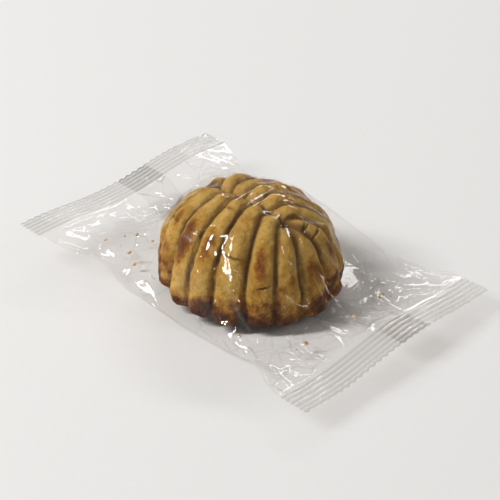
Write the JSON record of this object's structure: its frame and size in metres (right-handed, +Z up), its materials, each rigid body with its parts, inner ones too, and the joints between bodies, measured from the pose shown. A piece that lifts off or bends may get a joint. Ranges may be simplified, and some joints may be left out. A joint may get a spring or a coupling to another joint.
{
  "type": "maamoul cookie",
  "caption": "Oval ribbed filled shortbread cookie sealed in its own clear film wrapper with a crimped seal at each end.",
  "frame": {"origin": "centre of the pack's bounding box in plan, on the underside that it rests on", "axes": "+X from the plain end of the cookie to its tip, from seal to seal; +Y across the pack; +Z up out of the ribbed dome"},
  "size_m": [0.08, 0.054, 0.021],
  "materials": {
    "baked_dough": "matte",
    "clear_film": "gloss"
  },
  "bodies": {
    "root": {"wrapped_maamoul": "baked_dough"}
  },
  "joints": []
}
